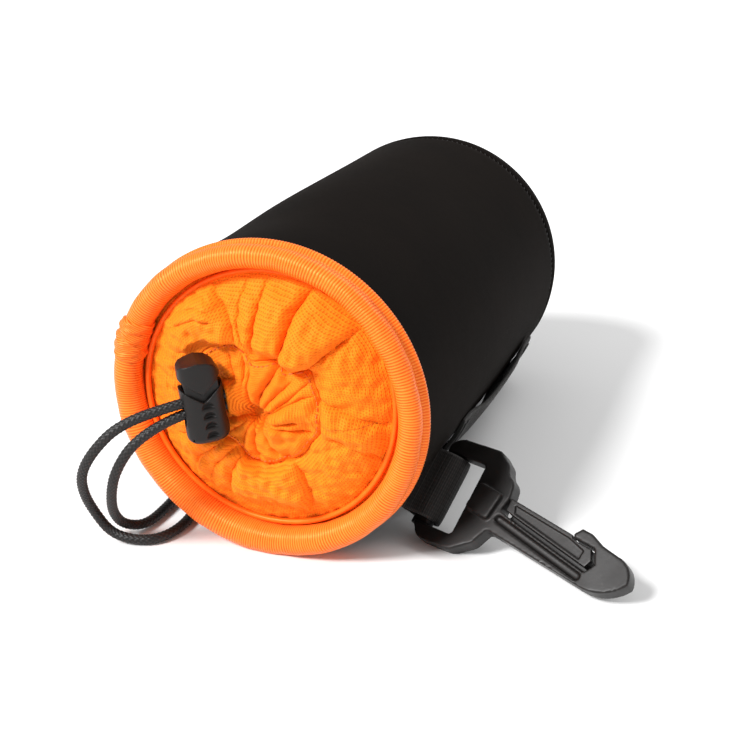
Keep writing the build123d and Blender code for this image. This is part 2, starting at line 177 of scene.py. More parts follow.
def mesh_cloth():
    """Orange warp-knit mesh with staggered pinholes."""
    f = Finish("orange_mesh", roughness=0.66, specular=0.15, Sheen_Weight=0.10,
               Sheen_Roughness=0.5, Sheen_Tint=(1.0, 0.62, 0.22, 1.0))
    flat, solid = f.coords("UV"), f.coords("Object")
    cloudy = f.node("TexNoise", {"Vector": flat, "Scale": 0.12}).outputs["Color"]
    drift = f.node("VectorMath", {0: cloudy, 1: (1.1, 1.1, 0.0)}, operation="MULTIPLY").outputs[0]
    wobble = f.node("VectorMath", {0: flat, 1: drift}, operation="ADD").outputs[0]
    hole = f.spots(f.squeeze(wobble, 1.05, 0.86, 1.0, shear=0.5), 0.12)
    open_here = f.ramp(hole, 0.36, 0.14)
    loops = f.wave(f.squeeze(wobble, 1.0, 1.0, 1.0), 0.42, "Y", 1.2, 2.0)
    patch = f.noise(solid, 16.0, 2.0)
    base = f.mix(patch, (1.0, 0.195, 0.004), (1.0, 0.235, 0.007))
    base = f.mix(f.ramp(loops, 0.0, 1.0, 0.0, 0.35), base, (1.0, 0.275, 0.014))
    base = f.mix(f.math("MULTIPLY", open_here, 0.50), base, (0.86, 0.085, 0.001))
    f.colour(base)
    f.bump(f.math("SUBTRACT", f.math("MULTIPLY", loops, 0.3), open_here), 0.16, 0.9)
    f.bump(f.noise(solid, 0.35, 2.0), 0.05, 0.6)
    return f.material


def satin_binding(name="orange_binding", ribbed=True):
    """Orange ribbed satin tape, with painted shade between the ribs and a painted highlight along their crests."""
    f = Finish(name, roughness=0.38, specular=0.6, Specular_Tint=(1.0, 0.55, 0.20, 1.0))
    flat, solid = f.coords("UV"), f.coords("Object")
    thread = f.noise(f.squeeze(flat, 0.16, 2.4, 1.0), 1.0, 2.0)
    patch = f.noise(solid, 9.0, 3.0, 0.6)
    base = f.mix(f.ramp(patch, 0.3, 0.7), (0.95, 0.105, 0.004), (1.0, 0.150, 0.008))
    if ribbed:
        crest = f.node("Attribute", attribute_name="crest").outputs["Fac"]
        # painted shade: darker orange in the grooves between the ribs
        base = f.mix(f.ramp(crest, 0.05, 0.60, 0.75, 0.0), base, (0.66, 0.036, 0.001))
        # painted highlight: pale orange along the rib crests
        base = f.mix(f.ramp(crest, 0.62, 1.0, 0.0, 0.75), base, (1.0, 0.30, 0.045))
    base = f.mix(f.ramp(thread, 0.42, 0.75, 0.0, 0.30), base, (1.0, 0.26, 0.04))
    f.colour(base)
    f.rough(f.ramp(patch, 0.3, 0.7, 0.32, 0.44))
    f.bump(thread, 0.05, 0.7)
    return f.material


def neoprene():
    """Black jersey-faced foam."""
    f = Finish("black_jersey", roughness=0.85, specular=0.06, Sheen_Weight=0.01,
               Sheen_Roughness=0.55, Sheen_Tint=(0.55, 0.36, 0.26, 1.0))
    flat, solid = f.coords("UV"), f.coords("Object")
    knit = f.spots(f.squeeze(flat, 0.55, 0.42, 1.0, shear=0.5), 0.1)
    patch = f.noise(solid, 22.0, 3.0)
    lint = f.ramp(f.noise(solid, 1.1, 4.0, 0.7), 0.70, 0.80, 0.0, 0.25)
    base = f.mix(f.ramp(patch, 0.3, 0.7), (0.0020, 0.0014, 0.0011), (0.0036, 0.0024, 0.0018))
    base = f.mix(f.ramp(knit, 0.1, 0.5, 0.35, 0.0), base, (0.0058, 0.0041, 0.0032))
    f.colour(f.mix(lint, base, (0.010, 0.008, 0.0065)))
    f.bump(knit, -0.05, 0.6)
    f.bump(f.noise(solid, 5.0, 3.0, 0.6), 0.25, 0.35)
    return f.material


def woven(name, dark, light, pitch=(0.62, 1.25), roughness=0.62, sheen=0.05):
    """Plain woven polyester: webbing, tape and lining."""
    f = Finish(name, roughness=roughness, specular=0.3, Sheen_Weight=sheen, Sheen_Roughness=0.4)
    flat, solid = f.coords("UV"), f.coords("Object")
    across = f.wave(flat, pitch[0], "X", 0.4)
    along = f.wave(flat, pitch[1], "Y", 0.4)
    yarn = f.math("MULTIPLY", across, f.ramp(along, 0.0, 1.0, 0.45, 1.0))
    patch = f.noise(solid, 6.0, 3.0)
    base = f.mix(f.ramp(yarn, 0.15, 0.85), dark, light)
    f.colour(f.mix(f.ramp(patch, 0.35, 0.75, 0.0, 0.4), base, dark))
    f.bump(yarn, 0.10, 0.7)
    f.bump(f.noise(f.squeeze(flat, 0.12, 0.9, 1.0), 1.0, 2.0), 0.03, 0.6)
    return f.material


def braided(name, dark, light):
    """Braided polyester cord; the strands themselves are geometry, with a painted highlight on the yarns' crowns."""
    f = Finish(name, roughness=0.48, specular=0.4, Sheen_Weight=0.05, Sheen_Roughness=0.35)
    flat, solid = f.coords("UV"), f.coords("Object")
    filament = f.noise(f.squeeze(flat, 0.09, 0.09, 1.0), 1.0, 2.0)
    patch = f.noise(solid, 3.0, 3.0)
    crest = f.node("Attribute", attribute_name="crest").outputs["Fac"]
    # painted highlight: lighter on the yarns' crowns, broken up by the filament noise
    painted_highlight = f.math("MULTIPLY", f.ramp(filament, 0.30, 0.7, 0.4, 1.0), f.ramp(crest, 0.35, 0.95))
    base = f.mix(painted_highlight, dark, light)
    f.colour(f.mix(f.ramp(patch, 0.4, 0.8, 0.0, 0.5), base, dark))
    f.bump(filament, 0.04, 0.6)
    return f.material


def plastic():
    """Black moulded acetal with handling wear."""
    f = Finish("black_plastic", roughness=0.40, specular=0.32)
    solid = f.coords("Object")
    grain = f.noise(solid, 0.22, 3.0, 0.6)
    cloud = f.noise(solid, 7.0, 4.0, 0.6)
    scratch = f.ramp(f.noise(f.squeeze(solid, 3.2, 0.10, 0.6), 1.0, 2.0), 0.68, 0.76, 0.0, 0.5)
    edge = f.ramp(f.node("NewGeometry").outputs["Pointiness"], 0.52, 0.60, 0.0, 0.55)
    base = f.mix(cloud, (0.0045, 0.0035, 0.0032), (0.0075, 0.0060, 0.0054))
    base = f.mix(edge, base, (0.024, 0.020, 0.018))
    f.colour(f.mix(scratch, base, (0.015, 0.013, 0.012)))
    f.rough(f.ramp(cloud, 0.3, 0.7, 0.36, 0.50))
    f.bump(grain, 0.035, 0.6)
    f.bump(cloud, 0.25, 0.25)
    return f.material


def steel():
    f = Finish("spring_steel", roughness=0.32, Metallic=1.0)
    solid = f.coords("Object")
    draw = f.noise(f.squeeze(solid, 0.5, 0.06, 0.5), 1.0, 3.0)
    f.colour(f.mix(draw, (0.40, 0.39, 0.37), (0.58, 0.57, 0.55)))
    f.rough(f.ramp(draw, 0.3, 0.7, 0.25, 0.42))
    return f.material


def ground():
    f = Finish("studio_floor", roughness=0.9, specular=0.1)
    f.colour(f.mix(f.noise(f.coords("Object"), 120.0), (0.86, 0.86, 0.86), (0.90, 0.90, 0.90)))
    return f.material


MESH = mesh_cloth()
BINDING = satin_binding()
PIPING = satin_binding("orange_piping", ribbed=False)
JERSEY = neoprene()
WEBBING = woven("black_webbing", (0.0075, 0.0062, 0.0056), (0.030, 0.0250, 0.0225))
TAPE = woven("black_seam_tape", (0.010, 0.009, 0.009), (0.030, 0.028, 0.027), (0.4, 0.4))
LINING = woven("orange_lining", (0.75, 0.16, 0.008), (1.0, 0.30, 0.02), (0.35, 0.35))
CORE = woven("white_core", (0.55, 0.53, 0.49), (0.80, 0.78, 0.74), (0.6, 0.9))
CORD = braided("black_cord", (0.0030, 0.0025, 0.0023), (0.026, 0.0225, 0.0215))
ORANGE_THREAD = braided("orange_thread", (0.80, 0.13, 0.008), (1.0, 0.36, 0.05))
BLACK_THREAD = braided("black_thread", (0.010, 0.009, 0.009), (0.05, 0.045, 0.043))
PLASTIC = plastic()
STEEL = steel()


# ---- mesh building ----
def smooth_noise(count, waves, seed, periodic=True):
    """A gentle wobble between about -1 and 1, the same each run."""
    rng = np.random.default_rng(seed)
    t = np.linspace(0, TAU, count, endpoint=not periodic)
    total = np.zeros(count)
    for k in waves:
        total += rng.uniform(0.5, 1.0) * np.cos(k * t + rng.uniform(0, TAU))
    return total / max(1e-9, np.abs(total).max())


def grid_object(name, points, material, body="pouch", wrap=(False, True), uv=None,
                caps=False, crest=None):
    """A smooth quad mesh from a rows-by-columns array of points, millimetres from the mouth."""
    rows, columns = points.shape[:2]
    i = np.arange(rows if wrap[0] else rows - 1)[:, None]
    j = np.arange(columns if wrap[1] else columns - 1)[None, :]
    i2, j2 = (i + 1) % rows, (j + 1) % columns
    quads = np.stack([i * columns + j, i * columns + j2, i2 * columns + j2, i2 * columns + j], -1)
    quads = quads.reshape(-1, 4).tolist()
    flat = points.reshape(-1, 3)
    if caps:
        ends = [list(range(columns))[::-1], list(range((rows - 1) * columns, rows * columns))]
        for ring in ends:
            centre = flat[ring].mean(0)
            flat = np.vstack([flat, centre])
            tip = len(flat) - 1
            quads += [[ring[k], ring[(k + 1) % columns], tip] for k in range(columns)]
    mesh = bpy.data.meshes.new(name)
    mesh.from_pydata(row(flat).tolist(), [], quads)
    mesh.polygons.foreach_set("use_smooth", [True] * len(mesh.polygons))
    if uv is None:
        down = np.linalg.norm(np.diff(points, axis=0), axis=2).mean(1)
        over = np.linalg.norm(np.diff(points, axis=1), axis=2).mean(0)
        v = np.concatenate([[0.0], np.cumsum(down)])
        u = np.concatenate([[0.0], np.cumsum(over)])
        uv = np.stack(np.broadcast_arrays(u[None, :], v[:, None]), -1)
    table = np.vstack([uv.reshape(-1, 2), np.zeros((len(flat) - rows * columns, 2))]) / 100.0
    corners = np.zeros(len(mesh.loops), np.int32)
    mesh.loops.foreach_get("vertex_index", corners)
    layer = mesh.uv_layers.new(name="UVMap")
    layer.data.foreach_set("uv", table[corners].astype(np.float32).ravel())
    if crest is not None:
        values = np.concatenate([crest.ravel(), np.zeros(len(flat) - rows * columns)])
        attribute = mesh.attributes.new("crest", "FLOAT", "POINT")
        attribute.data.foreach_set("value", values.astype(np.float32))
    mesh.materials.append(material)
    return add(name, mesh, body)


def add(name, mesh, body):
    """Put a mesh in the scene on its body."""
    mesh.validate()
    made = bpy.data.objects.new(name, mesh)
    bpy.context.scene.collection.objects.link(made)
    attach(made, body)
    return made


def apply_modifiers(obj):
    """Turn an object's modifiers into its mesh."""
    graph = bpy.context.evaluated_depsgraph_get()
    mesh = bpy.data.meshes.new_from_object(obj.evaluated_get(graph))
    obj.modifiers.clear()
    obj.data = mesh


def resample(line, step):
    """Even points along a line, and its length."""
    line = np.asarray(line, float)
    far = np.concatenate([[0.0], np.cumsum(np.linalg.norm(np.diff(line, axis=0), axis=1))])
    count = max(3, int(round(far[-1] / step)) + 1)
    want = np.linspace(0, far[-1], count)
    return np.stack([np.interp(want, far, line[:, k]) for k in range(3)], 1), far[-1]


def frames_along(line):
    """Tangents and a pair of sides that don't twist."""
    tangents = np.gradient(line, axis=0)
    tangents /= np.linalg.norm(tangents, axis=1)[:, None]
    side = np.cross(tangents[0], (0.3, 0.2, 1.0))
    side /= np.linalg.norm(side)
    sides = []
    for t in tangents:
        side = side - t * side.dot(t)
        side /= np.linalg.norm(side)
        sides.append(side)
    sides = np.array(sides)
    return tangents, sides, np.cross(tangents, sides)


def braid(line, diameter, name, material, body="pouch", yarns=8, lay=13.0, step=0.24,
          columns=44, relief=0.27, caps=True):
    """A braided tube along a line: over and under yarns as real relief."""
    line, length = resample(line, step)
    _, side, other = frames_along(line)
    s = np.linspace(0, length, len(line))[:, None]
    turn = np.linspace(0, TAU, columns, endpoint=False)[None, :]
    one = yarns * (turn / TAU + s / lay)
    two = yarns * (turn / TAU - s / lay)
    over = (np.floor(one) + np.floor(two)) % 2 == 0
    crown_one, crown_two = np.abs(np.sin(np.pi * one)), np.abs(np.sin(np.pi * two))
    crown = np.where(over, crown_one ** 0.7 * (0.45 + 0.55 * crown_two),
                     crown_two ** 0.7 * (0.45 + 0.55 * crown_one))
    radius = diameter / 2 - relief + relief * 1.15 * crown
    points = (line[:, None, :] + side[:, None, :] * (np.cos(turn) * radius)[..., None]
              + other[:, None, :] * (np.sin(turn) * radius)[..., None])
    uv = np.stack(np.broadcast_arrays(turn * diameter / 2, s), -1)
    # the yarn crowns also go to the crest attribute, which paints a highlight on them
    return grid_object(name, points, material, body, uv=uv, caps=caps, crest=crown)


def round_tube(line, radius, name, material, body="pouch", columns=10, step=0.4,
               closed=False):
    """A plain tube along a line."""
    if closed:
        line = np.vstack([line, line[:1]])
    line, length = resample(line, step)
    _, side, other = frames_along(line)
    if closed:
        line, side, other = line[:-1], side[:-1], other[:-1]
    turn = np.linspace(0, TAU, columns, endpoint=False)[None, :, None]
    points = line[:, None] + radius * (side[:, None] * np.cos(turn) + other[:, None] * np.sin(turn))
    return grid_object(name, points, material, body, wrap=(closed, True), caps=not closed)


def rods(name, pairs, radius, material, body="pouch", columns=8):
    """Many short round-ended threads in one piece."""
    verts, faces = [], []
    profile = [(-1.0, 0.35), (-0.8, 0.85), (-0.4, 1.0), (0.4, 1.0), (0.8, 0.85), (1.0, 0.35)]
    for a, b in pairs:
        a, b = Vector(a), Vector(b)
        way = (b - a).normalized()
        side = way.cross(Vector((0.31, 0.52, 0.79))).normalized()
        other = way.cross(side)
        start = len(verts)
        for along, size in profile:
            centre = (a + b) / 2 + (b - a) / 2 * along
            for k in range(columns):
                t = TAU * k / columns
                out = side * math.cos(t) + other * math.sin(t)
                verts.append(tuple(centre + out * radius * size))
        for r in range(len(profile) - 1):
            for k in range(columns):
                k2 = (k + 1) % columns
                p, q = start + r * columns, start + (r + 1) * columns
                faces.append([p + k, p + k2, q + k2, q + k])
        faces.append([start + k for k in range(columns)][::-1])
        faces.append([start + (len(profile) - 1) * columns + k for k in range(columns)])
    mesh = bpy.data.meshes.new(name)
    mesh.from_pydata(row(verts).tolist(), [], faces)
    mesh.polygons.foreach_set("use_smooth", [True] * len(mesh.polygons))
    mesh.materials.append(material)
    return add(name, mesh, body)


# ---- drawstring strands: the route's points are the control points of a smooth spline ----
CORD_DIAMETER = 3.2
STRAND_WAY = Vector((-0.792683, -0.597329, -0.121869))
LOCK_UP = Vector((-0.097329, -0.073343, 0.992546))
LOCK_CENTRE = (-14.3, -12.1, 4.2)
LOCK = axes(STRAND_WAY, LOCK_UP, LOCK_CENTRE)
HEM_EXIT = 13.2
STRAND_SAG = 0.3
UPPER_STRAND, LOWER_STRAND = 0.45, -2.95
ON_FLOOR = CORD_DIAMETER / 2 + 0.1 - AXIS_Z
KNOT = axes((0, 0, 1), (-0.2, 0.98, 0.0), (-39.0, 45.0, 4.4 - AXIS_Z))
KNOT_LENGTH = 9.0


def lock_point(along, height):
    """A point in the cord lock's own axes."""
    return tuple(LOCK @ Vector((along, 0, height)))


strand_a = [lock_point(-HEM_EXIT, UPPER_STRAND), lock_point(-4.0, UPPER_STRAND - STRAND_SAG),
            lock_point(7.5, UPPER_STRAND), (-34.6, -25.3, -1.4), (-42.0, -28.6, -9.4),
            (-48.2, -27.5, -18.8), (-51.8, -21.6, -29.2), (-52.8, -15.2, -39.0),
            (-48.8, -13.6, -46.0), (-41.0, -13.4, ON_FLOOR), (-33.6, -10.0, ON_FLOOR),
            (-30.8, -0.5, ON_FLOOR), (-32.2, 11.5, ON_FLOOR), (-35.0, 24.0, ON_FLOOR),
            (-37.3, 34.0, ON_FLOOR + 1.0), tuple(KNOT @ Vector((0, 1.75, -KNOT_LENGTH / 2)))]
strand_b = [lock_point(-HEM_EXIT, LOWER_STRAND), lock_point(-4.0, LOWER_STRAND - STRAND_SAG),
            lock_point(7.5, LOWER_STRAND), (-30.8, -23.9, -6.6), (-37.0, -26.0, -16.5),
            (-41.3, -23.0, -27.0), (-44.8, -17.2, -36.8), (-45.7, -10.2, -44.5),
            (-42.0, -3.4, ON_FLOOR), (-41.8, 9.0, ON_FLOOR), (-43.0, 20.0, ON_FLOOR),
            (-42.3, 31.0, ON_FLOOR + 1.0), tuple(KNOT @ Vector((0, -1.75, -KNOT_LENGTH / 2)))]


def spline_points(route):
    """Points read from the route's own smooth spline, millimetres from the mouth."""
    curve = bpy.data.curves.new("route", "CURVE")
    curve.dimensions = "3D"
    curve.resolution_u = 16
    spline = curve.splines.new("NURBS")
    spline.points.add(len(route) - 1)
    for point, place in zip(spline.points, route):
        point.co = (*place, 1.0)
    spline.order_u = 3
    spline.use_endpoint_u = True
    holder = bpy.data.objects.new("route", curve)
    bpy.context.scene.collection.objects.link(holder)
    bpy.context.view_layer.update()
    mesh = bpy.data.meshes.new_from_object(holder)
    line = np.array([v.co for v in mesh.vertices], float)
    bpy.data.objects.remove(holder)
    bpy.data.meshes.remove(mesh)
    return line


# the stopper knot: both strands wrapped round themselves
KNOT_TURNS = 2.75
wrap_t = np.linspace(0, 1, 120)
wrap_angle = TAU * KNOT_TURNS * wrap_t
wrap_radius = 2.75 - 0.5 * np.exp(-wrap_t * 18) - 0.5 * np.exp(-(1 - wrap_t) * 18)
wrap_height = (wrap_t - 0.5) * (KNOT_LENGTH - 3.0)
knot_line = [tuple(KNOT @ Vector((r * math.cos(a), r * math.sin(a), h)))
             for a, r, h in zip(wrap_angle, wrap_radius, wrap_height)]
knot = braid(knot_line, 3.1, "stopper_knot", CORD, step=0.3, columns=28)
TAIL_START = KNOT_LENGTH / 2 - 3.5
for k, side in enumerate((1.7, -1.7)):
    tail = [tuple(KNOT @ Vector((0.3 * k, side, TAIL_START + d))) for d in (0.0, 2.0, 4.0, 6.5)]
    braid(tail, 3.0, f"knot_tail_{'ab'[k]}", CORD, step=0.3, columns=28)
core_line = [tuple(KNOT @ Vector((0, 0, h))) for h in (-3.6, 0.0, 3.6)]
knot_heart = braid(core_line, 3.0, "knot_heart", CORD, step=0.4, columns=24)
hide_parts("cord_knot")

cords = {}
for name, route in (("a", strand_a), ("b", strand_b)):
    line = spline_points(route)
    piece = braid(line, CORD_DIAMETER, f"drawstring_{name}", CORD)
    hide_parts(f"cord_strand_{name}")
    cords[name] = piece


# ---- rim: fat ribbed binding round the edge ----
RIM, ROLL_CENTRE, ROLL = 50.0, 45.0, 5.0
RIBS = 340
PER_RIB = 5


def around_bump(theta, degrees, width):
    """A smooth hump centred on an angle."""
    turn = np.mod(theta - math.radians(degrees) + math.pi, TAU) - math.pi
    return np.exp(-(turn / math.radians(width)) ** 2)


def rim_bulge(theta):
    """The mouth isn't quite round: it is fuller on the strands' side."""
    return (1.1 * around_bump(theta, 178, math.degrees(0.75))
            - 0.5 * around_bump(theta, 105, math.degrees(0.6)))


def polar(r, depth, theta):
    """Points from radius, depth and angle arrays, kept off the floor."""
    r = r + rim_bulge(theta) * np.clip((r - 20.0) / 25.0, 0, 1)
    x, z = r * np.cos(theta), r * np.sin(theta)
    return np.stack([x, depth + 0 * x, np.maximum(z, FLOOR + 0.02)], -1)


def roll_radius(theta):
    """The stuffed edge is slimmer over the top than under the weight of the pouch."""
    return (ROLL - 1.45 * around_bump(theta, 82, 60) - 1.25 * around_bump(theta, 2, 50)
            - 0.45 * around_bump(theta, 160, 40) - 0.30 * around_bump(theta, 300, 40))


def roll_centre(theta):
    """The slimmer stretches sit a little inside the edge."""
    return RIM - 0.15 - roll_radius(theta) - 0.55 * around_bump(theta, 0, 50)


ARC = np.radians(np.linspace(216, -48, 30))
FLANGE = np.array([(49.20, 3.1), (49.30, 3.5), (49.75, 3.9), (50.10, 4.4), (50.10, 5.0),
                   (49.75, 5.4), (49.2, 5.3), (49.1, 4.6), (48.4, 4.0), (46.4, 3.9), (44.6, 3.6)])
count = RIBS * PER_RIB
theta = np.linspace(0, TAU, count, endpoint=False)
roll = roll_radius(theta)[:, None]
flange = np.repeat(FLANGE[None], count, 0)
profile_r = np.concatenate([roll_centre(theta)[:, None] + roll * np.cos(ARC), flange[..., 0]], 1)
profile_y = np.concatenate([-roll * np.sin(ARC), flange[..., 1]], 1)
step_r = np.roll(profile_r, -1, 1) - np.roll(profile_r, 1, 1)
step_y = np.roll(profile_y, -1, 1) - np.roll(profile_y, 1, 1)
size = np.hypot(step_r, step_y)
out_r, out_y = -step_y / size, step_r / size
if out_y[0, 15] > 0:
    out_r, out_y = -out_r, -out_y
place = np.linspace(0, 1, profile_r.shape[1])
slant = 0.9 * (place - 0.5)
wander = smooth_noise(count, range(2, 15), 3) * 0.9 + smooth_noise(count, range(20, 50), 4) * 0.25
tilt = smooth_noise(count, range(3, 22), 5) * 1.1
phase = ((np.arange(count) / PER_RIB + wander)[:, None] + slant[None, :]
         + tilt[:, None] * (place - 0.5))
rib = np.abs(np.cos(np.pi * phase)) ** 0.8
strength = 0.20 + 0.04 * smooth_noise(count, range(5, 60), 6)[:, None]
on_roll = np.clip(1.0 - np.abs(place - 0.36) / 0.42, 0.25, 1.0) ** 0.4
lump = (0.16 * smooth_noise(count, range(6, 40), 7)[:, None] * np.cos(2.2 * place * TAU)[None, :]
        + 0.14 * smooth_noise(count, range(4, 30), 8)[:, None] * np.sin(1.4 * place * TAU)[None, :]
        + 0.12 * smooth_noise(count, range(8, 24), 9)[:, None])
offset = rib * strength * on_roll[None, :] - strength * 0.6 + lump * on_roll[None, :]
bead = (place > 0.79) & (place < 0.92)
offset[:, bead] = 0.16 * rib[:, bead]
points = polar(profile_r + out_r * offset, profile_y + out_y * offset,
               theta[:, None] + 0 * profile_r)
along = np.concatenate([[0], np.cumsum(np.hypot(np.diff(profile_r[0]), np.diff(profile_y[0])))])
uv = np.stack(np.broadcast_arrays((theta * ROLL_CENTRE)[:, None], along[None, :]), -1)
# the rib profile also goes to the crest attribute, which paints shade in the grooves and a highlight on the crests
binding = grid_object("rim_binding_roll", points, BINDING, wrap=(True, True), uv=uv,
                      crest=rib)
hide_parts("rim_binding")

# the soft core the binding is stuffed with
core_turn = np.linspace(0, TAU, 24, endpoint=False)[None, :]
core_theta = np.linspace(0, TAU, 240, endpoint=False)[:, None]
BINDING_THICKNESS = 0.9
core_size = roll_radius(core_theta) - BINDING_THICKNESS
core_points = polar(roll_centre(core_theta) + core_size * np.cos(core_turn),
                    -core_size * np.sin(core_turn), core_theta + 0 * core_turn)
core = grid_object("rim_soft_core", core_points, CORE, wrap=(True, True))
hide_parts("rim_core")

# the lap: one end of the binding folded over the other, with puckers
LAP_ANGLE, LAP_ARC = 160.0, 17.0
lap_rows, lap_columns = 150, 90
t = np.linspace(-0.5, 0.5, lap_rows)[:, None]
minor = np.radians(np.linspace(205, -35, lap_columns))[None, :]
swing = (minor - math.radians(90)) / math.radians(120)
edge_shift = (np.where(t > 0, 1.6, -2.4) * np.abs(t) * 2 * swing
              + 1.2 * np.abs(t) * np.cos(3 * swing))
lap_theta = np.radians(LAP_ANGLE + LAP_ARC * t * (1 - 0.25 * swing ** 2) + edge_shift)
thick = 0.62 * np.clip((0.5 - np.abs(t)) * 14, 0, 1) ** 0.5
crease = (0.42 * np.exp(-((t - 0.16 - 0.20 * swing) / 0.05) ** 2)
          + 0.34 * np.exp(-((t + 0.05 - 0.42 * swing) / 0.04) ** 2)
          - 0.50 * np.exp(-((t + 0.18 + 0.16 * swing) / 0.05) ** 2)
          - 0.38 * np.exp(-((t - 0.30 + 0.25 * swing) / 0.045) ** 2)
          + 0.20 * np.sin(9 * swing + 22 * t))
lap_crest = np.abs(np.cos(np.pi * (22 * t + 5 * swing * np.where(t > 0.02, 1.0, -0.6))))
lap_roll = roll_radius(lap_theta)
lap_r = lap_roll + thick * (1.0 + crease) + 0.16 * lap_crest * (thick > 0.3)
lap_centre, lap_angles = roll_centre(lap_theta), lap_theta + 0 * minor
front = polar(lap_centre + lap_r * np.cos(minor), -lap_r * np.sin(minor), lap_angles)
back_r = lap_roll - 0.35
back = polar(lap_centre + back_r * np.cos(minor), -back_r * np.sin(minor), lap_angles)
lap_points = np.concatenate([front, back[:, ::-1]], axis=1)
# the crest attribute paints shade and highlight over the lap's ribs; its hidden back half gets a middle value
lap = grid_object("binding_lap_fold", lap_points, BINDING, caps=True,
                  crest=np.concatenate([lap_crest + 0 * lap_r, 0.5 + 0 * lap_r], axis=1))
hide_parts("binding_lap")


# ---- collar: pleated skirt from the rim to the stitched channel, then the puckered hem ----
SKIRT_RIM = 44.6

# the gathered channel's outline: angle in degrees and radius
CHANNEL = np.array([
    (6, 20.7), (23, 21.4), (42, 22.6), (49, 18.8), (56, 16.4), (66, 19.0), (77, 16.4), (94, 15.6),
    (100, 18.0), (107, 21.0), (116, 22.3), (127, 23.1), (142, 24.0), (160, 20.5), (185, 17.0),
    (212, 16.2), (224, 14.4), (238, 13.0), (250, 15.2), (259, 16.8), (282, 17.5), (298, 16.8),
    (313, 18.0), (338, 18.6), (350, 20.6)])
# creases in the gathered cloth, from the channel outwards or from the centre outwards: the points
# (x, z) they pass through, then how far the cloth stands up towards the viewer on the crease's left
# and how wide that pleat is, and the same on its right
CREASES = [
    # skirt, anticlockwise from the top left
    (((-5.2, 19.9), (-7.1, 26.5), (-10.5, 30.7), (-14.5, 33.9), (-16.9, 37.1)), 4.0, 3.6, 0.9, 1.6),
    (((-19.8, 15.3), (-26.2, 14.0), (-34.8, 15.9)), 0.9, 2.6, 1.1, 2.2),
    (((-11.8, 26.9), (-19.8, 26.0), (-26.2, 22.3), (-32.6, 18.4)), 1.0, 1.4, 1.3, 1.6),
    (((-12.3, 29.2), (-18.4, 29.7), (-24.6, 27.0), (-30.4, 23.0)), 1.2, 1.5, 1.1, 1.5),
    (((-14.0, 31.3), (-17.6, 32.5), (-22.9, 31.7), (-28.2, 28.7)), 1.0, 1.4, 1.0, 1.4),
    (((-10.5, -6.0), (-22.9, -10.6), (-30.4, -14.4)), 1.2, 2.4, 1.4, 3.0),
    (((-9.2, -9.4), (-20.2, -18.2), (-24.2, -25.1)), 1.6, 3.0, 1.3, 3.0),
    (((-6.1, -11.2), (-14.0, -19.1), (-18.4, -26.0), (-18.9, -31.8)), 1.5, 3.0, 1.5, 3.0),
    (((-5.2, -14.6), (-9.2, -21.0), (-11.2, -27.5), (-11.4, -32.9)), 3.4, 4.2, 1.2, 4.0),
    (((11.6, -13.8), (14.4, -19.2), (15.7, -26.1), (13.8, -34.0)), 1.6, 6.0, 4.4, 4.6),
    (((19.9, -4.3), (25.7, -5.2), (32.7, -9.3), (39.4, -14.5)), 1.6, 3.4, 0.8, 4.0),
    (((19.5, 7.4), (25.7, 5.2), (32.7, 1.4), (40.2, -1.9)), 1.8, 6.0, 3.2, 3.4),
    (((9.3, 12.5), (16.0, 15.3), (21.3, 20.2), (25.7, 23.9), (29.7, 27.2), (32.7, 29.5)),
     4.4, 3.6, 1.2, 5.0),
    (((8.2, 17.3), (10.0, 24.7), (11.6, 31.2), (15.5, 38.4), (18.2, 41.5)), 3.4, 3.2, 4.6, 4.0),
    (((-1.2, 17.5), (-0.5, 24.9), (0.1, 33.0), (1.4, 42.1)), 1.5, 1.4, 3.2, 3.4),
    (((-1.2, 17.8), (-5.2, 24.6), (-6.1, 32.1), (-5.2, 38.0), (-4.8, 41.2)), 1.2, 1.5, 1.5, 1.8),
    # hem
    (((-3.4, -0.3), (-7.0, 3.4), (-7.1, 10.5), (-9.2, 16.4), (-10.5, 18.5)), 1.6, 2.2, 1.8, 1.5),
    (((-2.4, -0.2), (-5.2, 3.7), (-3.4, 11.1), (-4.1, 16.3), (-5.5, 19.0)), 1.6, 1.5, 1.5, 1.5),
    (((-1.2, -0.4), (-2.6, 5.9), (-1.7, 12.2), (-1.9, 15.6)), 1.2, 1.2, 2.2, 2.2),
    (((0.1, -0.2), (1.9, 6.5), (5.8, 12.5), (8.2, 16.8)), 2.2, 2.2, 1.6, 1.8),
    (((1.0, -0.1), (5.4, 5.3), (10.7, 10.5), (12.4, 12.8)), 1.6, 1.6, 1.5, 1.5),
    (((2.7, 0.2), (10.7, 6.1), (16.4, 11.4), (17.9, 14.3)), 1.5, 1.5, 1.5, 1.5),
    (((1.4, -0.9), (8.0, 3.0), (15.1, 7.1), (19.9, 8.4)), 1.3, 1.6, 3.2, 2.6),
    (((4.7, -1.1), (9.8, -0.8), (14.9, -0.6)), 2.2, 2.0, 2.4, 1.8),
    (((1.1, -1.6), (7.1, -2.5), (14.2, -3.4), (19.1, -4.4)), 2.2, 2.2, 2.8, 3.0),
    (((0.3, -2.6), (3.6, -9.3), (7.1, -14.8)), 2.2, 2.6, 1.3, 1.8),
    (((-0.4, -2.7), (-1.2, -10.0), (0.1, -16.2)), 1.3, 1.5, 1.3, 1.5),
    (((-1.2, -2.4), (-4.3, -7.8), (-5.2, -14.6)), 1.5, 1.6, 1.1, 1.4),
    (((-1.7, -2.0), (-7.0, -6.0), (-11.4, -9.7)), 1.0, 1.2, 1.0, 1.2),
    (((-1.9, -1.4), (-7.0, -2.7), (-12.3, -4.5)), 1.0, 1.2, 1.1, 1.2)]
PUCKER = (-0.4, -0.9)               # where the hem's folds meet


def smoothstep(a, b, x):
    t = np.clip((x - a) / (b - a), 0, 1)
    return t * t * (3 - 2 * t)


